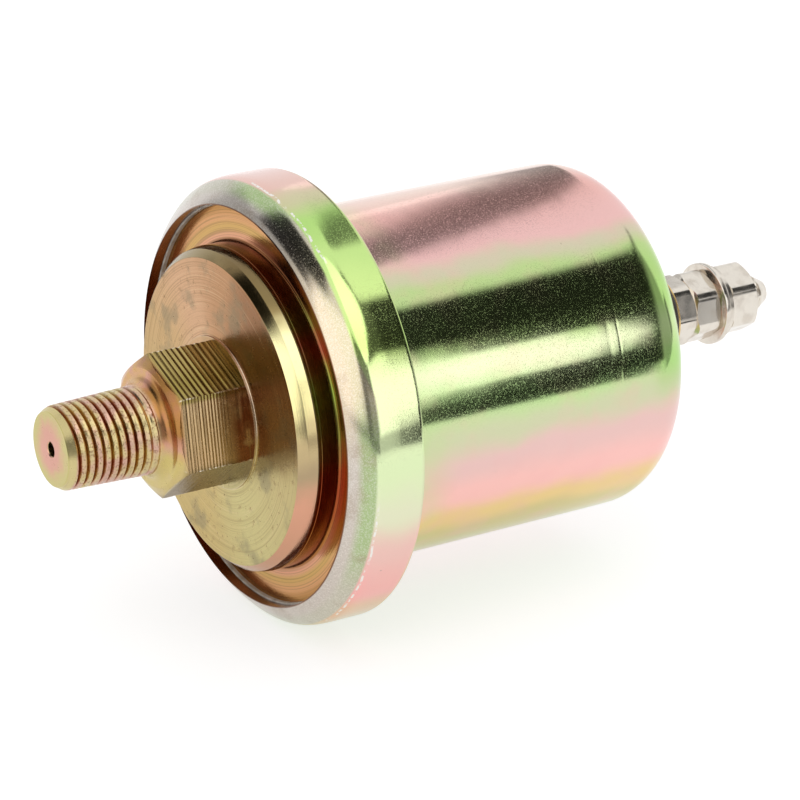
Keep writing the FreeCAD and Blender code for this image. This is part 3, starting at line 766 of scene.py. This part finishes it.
def makeCanFinish():
    s = canFinish
    f = Finish("plated_sheet")
    turn = f.math("ADD", f.turn, f.wander(9.0, s["bandWander"], seed=1.0))
    barrel = f.bands(turn, s["barrelBands"])
    nearRim = f.product(f.step(f.x, *s["nearRimX"]), f.step(f.noise(6.0, seed=4.0), 0.3, 0.6))
    barrel = f.cover(barrel, s["nearRim"], nearRim)
    barrel = f.cover(barrel, s["blush"], f.step(f.noise(4.0, detail=3.0, seed=7.0), 0.45, 0.72))
    endGreen = f.product(f.step(f.x, *s["endGreenX"]), f.stretch(f.turn, *s["endGreenTurn"]))
    barrel = f.cover(barrel, s["endGreen"], endGreen)
    colour = f.mix(f.step(f.x, *s["rimEndX"]), f.bands(turn, s["rimBands"]), barrel)

    # the rolled lip: greener at two sides, brown in patches and with painted glints
    sides = f.math("MAXIMUM", *[f.stretch(f.turn, *turns) for turns in s["lipGreenTurns"]])
    lipGreen = f.product(f.step(f.radius, *s["lipGreenR"]), f.math("MULTIPLY_ADD", sides, 0.6, 0.15))
    lip = f.mix(lipGreen, f.bands(f.turn, s["lipBands"]), s["lipGreen"])
    lip = f.cover(lip, s["lipBrown"], f.step(f.noise(3.2, seed=16.0), 0.5, 0.72))
    # painted glints: fine near-white specks over the lip stand in for its sparkle
    lip = f.cover(lip, s["lipGlints"], f.step(f.noise(0.16, seed=9.0), 0.4, 0.7))
    lipShift = f.math("ADD", f.product(f.stretch(f.turn, *s["lampTurn"]), s["lampShift"]),
                      f.product(f.stretch(f.turn, *s["bareTurn"]), s["bareShift"]))
    onLip = f.step(f.math("SUBTRACT", f.x, lipShift), *s["lipEndX"])
    colour = f.mix(onLip, colour, lip)

    # plating chipped off along the crease, and the cut edge of the sheet inside the lip
    fromCrease = f.math("ADD", f.math("SUBTRACT", f.x, s["chipX"]), f.wander(2.2, 0.6, seed=13.0))
    nearCrease = f.step(f.math("ABSOLUTE", fromCrease), 0.17, 0.08)
    chips = f.product(nearCrease, f.step(f.noise(0.7, detail=4.0, roughness=0.7, seed=3.0), 0.45, 0.56))
    farChips = f.product(f.step(f.turn, *s["farChipTurn"]), f.step(f.noise(6.0, seed=15.0), 0.35, 0.5))
    where = f.math("MAXIMUM", f.stretch(f.turn, *s["chipTurn"]), farChips)
    colour = f.mix(f.product(chips, where), colour, s["chip"])
    inner = f.product(f.step(f.radius, *s["cutEdgeR"]), f.step(f.x, *s["cutEdgeX"]))
    colour = f.mix(inner, colour, s["cutEdge"])
    colour = f.cover(colour, s["speck"], f.step(f.noise(0.9, detail=1.0, seed=12.0), 0.21, 0.18))

    rough = f.math("ADD", s["roughness"], f.product(onLip, s["lipRoughness"]))
    speckle = f.step(f.noise(s["speckleSize"], roughness=0.6, seed=18.0), 0.50, 0.68)
    rough = f.math("ADD", rough, f.product(speckle, s["speckleRoughness"]))
    pits = f.bump(f.step(f.noise(s["pitSize"], detail=1.0, roughness=0.6, seed=5.0), 0.55, 0.75), s["pitDepth"])
    normal = f.bump(f.noise(4.0, detail=1.0, seed=8.0), s["dentDepth"], pits)
    return f.finish(colour, 1.0, rough, normal)


fittingFinish = {
    "wander": 26.0,
    "crest": "d0a896", "crestGold": "d2c08c", "crestScratch": ("8c6448", 0.7),
    "groove": "96583a", "grooveGold": "b08a4c", "tipEdge": "cfc08a", "tipEdgeX": (-10.0, -10.3),
    "tipPink": "d8a08e", "tipGreen": "c8bd7c", "tipX": (-10.85, -10.97),
    "neck": "d2a66c", "neckPink": "cf9a86", "neckX": (-0.2, 0.5),
    "neckShade": ("a06a30", 0.7), "neckShadeTurn": (88, 108, 168, 186),
    "neckLight": ("c9c078", 0.7), "neckLightTurn": (180, 200),
    "flats": [(-25, "b59a62"), (20, "b59a62"), (50, "c4a573"), (96, "b3a062"), (126, "a39350"), (143, "ab9a5c"),
              (146, "d9bb8e"), (170, "d5b687"), (196, "cfae80"), (203, "93805a"), (250, "8c7a55"), (335, "b59a62")],
    "hexX": (1.7, 2.3), "hexR": (7.25, 7.35), "milling": ("6d5634", 0.6), "burr": ("fbf2e4", 0.8),
    "heat": ("8e4a24", 0.8), "heatX": (7.4, 9.2), "heatTurn": (139, 142, 200, 203),
    # the face's bands are painted dark brown from 122 to 170 degrees: a painted reflection of the hexagon's dark side
    # and the floor; the tans and olives elsewhere are the plating's tints
    "face": [(-25, "b9a46a"), (20, "c7a36f"), (60, "cfa37c"), (96, "b98a60"), (122, "946640"), (150, "8a5c32"),
             (170, "93703c"), (192, "bfae76"), (240, "c6ba7e"), (290, "c4ab6c"), (335, "b9a46a")],
    "faceX": (10.05, 10.12), "faceSpeckle": ("8a6a44", 0.55), "smudge": ("7e7558", 0.5),
    "ringDark": ("866a3c", 0.34), "ringLight": ("e0c49a", 0.35), "ringWidth": 0.16,
    # the collar's pale edge carries a painted highlight on the side the lamp lights
    "collar": "f0dfca", "collarR": (8.86, 8.94, 9.04, 9.1), "collarHighlightTurn": (108, 122, 170, 186),
    # the chamfer's bands hold a painted highlight, near white at 140 to 160 degrees, and painted shade, darker near
    # 100 degrees; the pinks are the plating's own tints
    "chamfer": [(-25, "a89468"), (70, "9a8860"), (100, "7d6a48"), (124, "8a7850"), (140, "f2eab0"), (160, "f0e4a4"),
                (172, "c8b284"), (186, "b09a78"), (198, "d8a084"), (235, "c89878"), (290, "b09868"), (335, "a89468")],
    "chamferR": (17.98, 18.03),
    "wall": [(-25, "80502e"), (60, "946038"), (118, "8a5634"), (132, "7c7236"), (142, "94513a"), (160, "86943f"),
             (176, "8a6a38"), (190, "a04a2a"), (215, "a86a30"), (335, "80502e")],
    "wallX": (12.45, 12.6),
    "annulus": [(19.0, "c08a4e"), (20.2, "d79a78"), (21.2, "c9a05a"), (22.3, "d29a66"), (23.4, "b5803f")],
    "annulusR": (19.3, 19.6), "annulusRings": ("86682f", 0.45),
    "roughness": 0.24, "speckleRoughness": 0.12, "chamferGloss": 0.09, "brushing": 0.55,
    "fineDepth": 0.004, "lineDepth": 0.006,
}


def makeFittingFinish():
    s = fittingFinish
    size = fittingSizes
    f = Finish("plated_steel")
    cloud = f.noise(2.6, detail=3.0, seed=1.0)
    turn = f.math("ADD", f.turn, f.wander(5.0, s["wander"], seed=2.0))

    # threads: pale worn crests, brown grooves
    major = f.math("ADD", f.product(f.x, size["taper"]), size["stemBigR"])
    depth = f.math("DIVIDE", f.math("SUBTRACT", major, f.radius), size["threadDepth"])
    groove = f.mix(f.step(cloud, 0.4, 0.6), s["groove"], s["grooveGold"])
    crest = f.mix(f.step(cloud, 0.38, 0.62), s["crest"], s["crestGold"])
    crest = f.cover(crest, s["crestScratch"], f.step(f.noise(0.22, detail=3.0, seed=3.0), 0.52, 0.66))
    colour = f.mix(f.step(depth, 0.15, 0.6), crest, groove)
    colour = f.mix(f.step(f.x, *s["tipEdgeX"]), colour, s["tipEdge"])
    fromHole = f.math("ADD", f.radius, f.wander(1.6, 3.0, seed=4.0))
    tip = f.mix(f.step(fromHole, 1.8, 4.4), s["tipPink"], s["tipGreen"])
    colour = f.mix(f.step(f.x, *s["tipX"]), colour, tip)
    neck = f.mix(f.step(cloud, 0.42, 0.62), s["neck"], s["neckPink"])
    neck = f.cover(neck, s["neckShade"], f.stretch(turn, *s["neckShadeTurn"]))
    neck = f.cover(neck, s["neckLight"], f.step(turn, *s["neckLightTurn"]))
    colour = f.mix(f.step(f.x, *s["neckX"]), colour, neck)

    # hexagon: milling streaks, a heated patch and burrs at its corners
    milling = f.step(f.streaks(f.x, 0.16, 0.01, 2.0, 5.0), 0.48, 0.62)
    flats = f.cover(f.bands(f.turn, s["flats"]), s["milling"], milling)
    heat = f.product(f.step(f.x, *s["heatX"]), f.step(f.noise(2.4, seed=6.0), 0.3, 0.5))
    flats = f.cover(flats, s["heat"], f.product(heat, f.stretch(f.turn, *s["heatTurn"])))
    onHex = f.product(f.step(f.x, *s["hexX"]), f.step(f.radius, *s["hexR"]))
    colour = f.mix(onHex, colour, flats)
    inSector = f.math("MODULO", f.math("ADD", f.turn, 360 - size["hexTurn"]), 60.0)
    corner = f.math("ABSOLUTE", f.math("SUBTRACT", inSector, 30.0))
    burr = f.product(f.step(corner, 29.2, 29.7), f.step(f.noise(0.7, detail=3.0, seed=14.0), 0.42, 0.62))
    colour = f.cover(colour, s["burr"], f.product(burr, onHex))

    # boss: its face with turned rings and a painted dark reflection, the collar's edge with a painted highlight, the
    # chamfer with painted highlight and shade, wall and annulus
    rings = f.streaks(f.radius, s["ringWidth"], 0.01, 3.0, 17.0)
    speckles = f.step(f.noise(0.8, detail=4.0, roughness=0.6, seed=7.0), 0.56, 0.72)
    # painted reflection: the face's dark brown sector comes from its bands
    face = f.cover(f.bands(turn, s["face"]), s["faceSpeckle"], speckles)
    face = f.cover(face, s["ringDark"], f.step(rings, 0.5, 0.64))
    face = f.cover(face, s["ringLight"], f.step(rings, 0.42, 0.34))
    face = f.cover(face, s["smudge"], f.step(f.noise(3.4, detail=3.0, seed=11.0), 0.5, 0.68))
    colour = f.mix(f.step(f.x, *s["faceX"]), colour, face)
    # painted highlight: the collar's pale edge is strongest between 108 and 186 degrees, where the lamp's highlight
    # falls, and weaker elsewhere
    seen = f.math("MULTIPLY_ADD", f.stretch(f.turn, *s["collarHighlightTurn"]), 0.7, 0.2)
    colour = f.mix(f.product(f.stretch(f.radius, *s["collarR"]), seen), colour, s["collar"])
    onChamfer = f.step(f.radius, *s["chamferR"])
    # painted highlight and shade: the chamfer's colour follows its bands by angle
    colour = f.mix(onChamfer, colour, f.bands(turn, s["chamfer"]))
    colour = f.mix(f.step(f.x, *s["wallX"]), colour, f.bands(turn, s["wall"]))
    uneven = f.math("ADD", f.radius, f.product(f.streaks(f.radius, 0.22, 0.004, 2.0, 8.0), 0.8))
    annulus = f.cover(f.ramp(uneven, 19.0, 23.8, s["annulus"]), s["annulusRings"], f.step(rings, 0.5, 0.6))
    colour = f.mix(f.step(f.radius, *s["annulusR"]), colour, annulus)

    rough = f.math("ADD", s["roughness"], f.product(speckles, s["speckleRoughness"]))
    rough = f.math("SUBTRACT", rough, f.product(onChamfer, s["chamferGloss"]))
    linePlace = f.join(f.math("DIVIDE", f.radius, 0.13), f.math("DIVIDE", f.x, 0.13), f.product(f.turn, 0.012))
    lines = f.noise(1.0, linePlace, detail=3.0, roughness=0.6, seed=9.0)
    normal = f.bump(lines, s["lineDepth"], f.bump(f.noise(0.14, seed=10.0), s["fineDepth"]))
    normal = f.bump(f.product(rings, f.step(f.x, 10.0, 10.3)), s["lineDepth"], normal)
    return f.finish(colour, 1.0, rough, normal, Anisotropic=s["brushing"], Tangent=f.turned())


def makeMetal(name, colour, stain, roughness, cloudSize=2.0, grain=0.2, depth=0.003, share=0.5, metallic=1.0):
    f = Finish(name)
    cloud = f.step(f.noise(cloudSize, detail=3.0, seed=1.0), 0.4, 0.7)
    rough = f.math("ADD", roughness, f.product(cloud, 0.08))
    normal = f.bump(f.noise(grain, seed=2.0), depth)
    return f.finish(f.cover(colour, (stain, share), cloud), metallic, rough, normal)


def makePlastic(name, colour, stain, roughness, cloudSize, grain, depth, share):
    return makeMetal(name, colour, stain, roughness, cloudSize, grain, depth, share, metallic=0.0)


finishes = {
    "plated_can": makeCanFinish(),
    "plated_fitting": makeFittingFinish(),
    "packing": makePlastic("packing_grey", "c9c4bb", "8d877c", 0.55, 1.2, 0.3, 0.01, 0.6),
    "brass": makeMetal("brass", "d8b25e", "b98c3e", 0.28),
    "bronze": makeMetal("bronze", "c98e52", "a86a3c", 0.26, 3.0),
    "gasket_rubber": makePlastic("black_rubber", "23221f", "34322d", 0.6, 2.0, 0.15, 0.01, 0.5),
    "plain_steel": makeMetal("plain_steel", "a9a6a0", "8d887e", 0.3),
    "contact_silver": makeMetal("contact_silver", "e6e3dc", "b9b2a4", 0.2, 0.8),
    "card": makePlastic("varnished_card", "7a4a26", "5c3519", 0.5, 1.5, 0.3, 0.008, 0.6),
    "resistance_wire": makeMetal("resistance_wire", "b7a58c", "94836c", 0.3, 1.0),
    "insulator": makePlastic("moulded_insulator", "2c2320", "3b302a", 0.42, 2.0, 0.2, 0.006, 0.5),
    "terminal_steel": makeMetal("nickel_plate", "e4ddd2", "c8bcae", 0.13, 1.6, 0.25, 0.0006, 0.5),
    "seat_brass": makeMetal("seat_brass", "e8c987", "c9a05a", 0.22, 1.0),
}
slotOf = {part["node"]: part["material_slot"] for part in frame["record"]["subparts"]}


def dress(thing, slot):
    thing.data.materials.clear()
    thing.data.materials.append(finishes[slot])


for node, thing in frame["nodes"].items():
    dress(thing, slotOf[node])
for node, piece in pieces.items():
    dress(piece, slotOf[node])
print("finishes made:", len(finishes))


# floor, camera and light

floorSizes = {"drop": 0.0002, "near": 0.135, "far": 1.5}  # in metres; it ends in front, as on a small table
paperTone = {"white": 0.92, "seenDarker": 0.44, "seenGlow": 0.67, "reflected": 0.8}


def makeFloorPaper():
    s = paperTone
    sheet = NodeSheet(bpy.data.materials.new("white_paper"), "ShaderNodeOutputMaterial")
    rays = sheet.add("LightPath").outputs
    seen = sheet.math("MAXIMUM", rays["Is Camera Ray"], sheet.product(rays["Is Glossy Ray"], s["reflected"]))
    paper = sheet.add("BsdfDiffuse", sheet.math("SUBTRACT", s["white"], sheet.product(seen, s["seenDarker"])))
    glow = sheet.add("Emission", None, sheet.product(seen, s["seenGlow"]))
    sheet.link(sheet.output.inputs[0], sheet.add("AddShader", paper.outputs[0], glow.outputs[0]).outputs[0])
    return sheet.owner


def makeFloor():
    z = cadBounds[0][2] - floorSizes["drop"]
    near = floorSizes["near"]
    far = floorSizes["far"]
    corners = [(-far, -near, z), (far, -near, z), (far, far, z), (-far, far, z)]
    mesh = bpy.data.meshes.new("pale_floor")
    mesh.from_pydata(corners, [], [(0, 1, 2, 3)])
    mesh.materials.append(makeFloorPaper())
    floor = bpy.data.objects.new("pale_floor", mesh)
    bpy.context.scene.collection.objects.link(floor)
    return floor


makeFloor()

cameraSizes = {
    "place": (-0.17188, -0.33123, 0.14979), "tilt": 68.41, "turn": -32.01, "lens": 159.58, "sensor": 36.0,
    "shiftX": -0.0021, "shiftY": 0.0111, "nearest": 0.01,
}


def makeCamera():
    s = cameraSizes
    data = bpy.data.cameras.new("camera")
    data.lens = s["lens"]
    data.sensor_width = s["sensor"]
    data.shift_x = s["shiftX"]
    data.shift_y = s["shiftY"]
    data.clip_start = s["nearest"]
    camera = bpy.data.objects.new("camera", data)
    camera.location = s["place"]
    camera.rotation_euler = (math.radians(s["tilt"]), 0, math.radians(s["turn"]))
    bpy.context.scene.collection.objects.link(camera)
    return camera


bpy.context.scene.camera = makeCamera()
bpy.context.scene.view_settings.view_transform = "Standard"


# a light tent as the metal shows it. Bearings are in degrees from the camera's side, to its right,
# and heights and places along X are parts of a direction's length.
tent = {
    "cameraSide": (-0.530, -0.848, 0.0), "rightSide": (0.848, -0.530, 0.0), "soft": 0.02,
    "white": 1.0,
    # each: bearing from and to, height from and to, softness of the edges, level
    "patches": [
        (-110, -54, 0.43, 0.80, 3, 0.015),  # gap on the left
        (-135, -80, 0.05, 0.44, 8, 0.60),  # grey wall on the left
        (-69, -23, -0.05, 0.58, 4, 1.45),  # left window
        (-69, -23, -0.22, -0.05, 4, 0.30),  # table edge below it
        (-23, 29, -0.20, 0.58, 4, 0.22),  # where the camera stands
        (-6, 26, -0.12, 0.30, 7, 0.50),  # the camera itself
        (74, 104, -0.19, 0.70, 5, 0.42),  # opening on the right
        (104, 114, -0.12, 0.20, 4, 0.20),
    ],
    "rightFrom": (26, 32),  # the dark gap and the box in it start at this bearing
    "overhead": {"level": 1.5, "way": (-0.04, -0.52, 0.853), "size": 0.897},
    "dark": {
        "level": 0.012, "levelNear": 0.09, "nearX": (0.486, 0.478),
        "stripNear": 0.5, "stripX": (0.490, 0.482), "stripZ": (0.05, -0.02),
        "top": 0.775, "topNear": 0.14, "slantX": (0.485, 0.365),
        "bottom": -0.19, "bottomFar": 0.09, "bottomX": (0.55, 0.58),
        "frontY": (0.05, -0.05), "endX": (0.74, 0.57),
    },
    # the side box grows taller toward the part's front end and ends in a point toward its rear
    "box": {
        "level": 1.25, "top": 0.37, "topNear": 0.14, "bottom": 0.075, "bottomNear": 0.13, "nearX": (0.517, 0.484),
        "taper": 0.15, "pointX": (0.538, 0.572), "endX": (0.572, 0.562),
    },
    # a grey wedge over the part, between two slanted edges
    "wedge": {
        "level": 0.20, "sideLevel": 0.42, "backY": (0.02, 0.15), "overZ": (0.0, 0.05),
        "first": (1.0, -0.2, -0.025), "bend": 0.028, "bendX": (0.487, 0.515), "second": (1.0, -0.151, -0.0645),
        "side": (0.370, 0.390, 0.418, 0.430), "core": (0.386, 0.412, 0.416, 0.427),
    },
}


def makeTent():
    world = bpy.data.worlds.new("light_tent")
    sheet = NodeSheet(world, "ShaderNodeOutputWorld")
    way = sheet.add("TexCoord").outputs["Generated"]
    x, y, z = sheet.split(way)
    ahead = sheet.vector("DOT_PRODUCT", way, tent["cameraSide"])
    right = sheet.vector("DOT_PRODUCT", way, tent["rightSide"])
    bearing = sheet.product(sheet.math("ARCTAN2", right, ahead), 180 / math.pi)
    soft = tent["soft"]

    def between(value, low, high, edge):
        return sheet.stretch(value, low - edge, low + edge, high - edge, high + edge)

    def inside(bottom, top):
        return sheet.product(sheet.step(sheet.math("SUBTRACT", z, bottom), -soft, soft),
                             sheet.step(sheet.math("SUBTRACT", z, top), soft, -soft))

    def toward(share, level, below):
        return sheet.math("MULTIPLY_ADD", share, sheet.math("SUBTRACT", level, below), below)

    level = tent["white"]
    for low, high, bottom, top, edge, light in tent["patches"]:
        level = toward(sheet.product(between(bearing, low, high, edge), between(z, bottom, top, soft)), light, level)

    s = tent["dark"]
    onRight = sheet.step(bearing, *tent["rightFrom"])
    top = sheet.math("MULTIPLY_ADD", sheet.step(x, *s["slantX"]), s["topNear"], s["top"])
    bottom = sheet.math("MULTIPLY_ADD", sheet.step(x, *s["bottomX"]), s["bottomFar"], s["bottom"])
    light = sheet.math("MULTIPLY_ADD", sheet.step(x, *s["nearX"]), s["levelNear"], s["level"])
    strip = sheet.product(sheet.step(z, *s["stripZ"]), sheet.step(x, *s["stripX"]))
    light = sheet.math("MULTIPLY_ADD", strip, s["stripNear"], light)
    inDark = sheet.product(inside(bottom, top), sheet.step(y, *s["frontY"]), sheet.step(x, *s["endX"]), onRight)
    level = toward(inDark, light, level)

    lamp = tent["overhead"]
    nearLamp = sheet.vector("DOT_PRODUCT", way, lamp["way"])
    level = toward(sheet.step(nearLamp, lamp["size"] - soft, lamp["size"]), lamp["level"], level)

    s = tent["box"]
    front = sheet.step(x, *s["nearX"])
    point = sheet.product(sheet.step(x, *s["pointX"]), s["taper"])
    top = sheet.math("SUBTRACT", sheet.math("MULTIPLY_ADD", front, s["topNear"], s["top"]), point)
    bottom = sheet.math("SUBTRACT", sheet.math("ADD", point, s["bottom"]), sheet.product(front, s["bottomNear"]))
    level = toward(sheet.product(inside(bottom, top), onRight, sheet.step(x, *s["endX"])), s["level"], level)

    s = tent["wedge"]
    first = sheet.math("MULTIPLY_ADD", sheet.step(x, *s["bendX"]), s["bend"],
                       sheet.vector("DOT_PRODUCT", way, s["first"]))
    second = sheet.vector("DOT_PRODUCT", way, s["second"])
    behind = sheet.product(sheet.step(y, *s["backY"]), sheet.step(z, *s["overZ"]))
    for part, light in (("side", s["sideLevel"]), ("core", s["level"])):
        riseFrom, riseTo, fallFrom, fallTo = s[part]
        share = sheet.product(sheet.step(first, riseFrom, riseTo), sheet.step(second, fallTo, fallFrom), behind)
        level = toward(share, light, level)

    white = (1, 1, 1, 1)
    lit = sheet.add("Background", white, level).outputs[0]
    plain = sheet.add("Background", white, 1.0).outputs[0]  # the camera itself sees plain white
    seen = sheet.add("LightPath").outputs["Is Camera Ray"]
    sheet.link(sheet.output.inputs[0], sheet.add("MixShader", seen, lit, plain).outputs[0])
    bpy.context.scene.world = world


makeTent()
print("stage and light made")
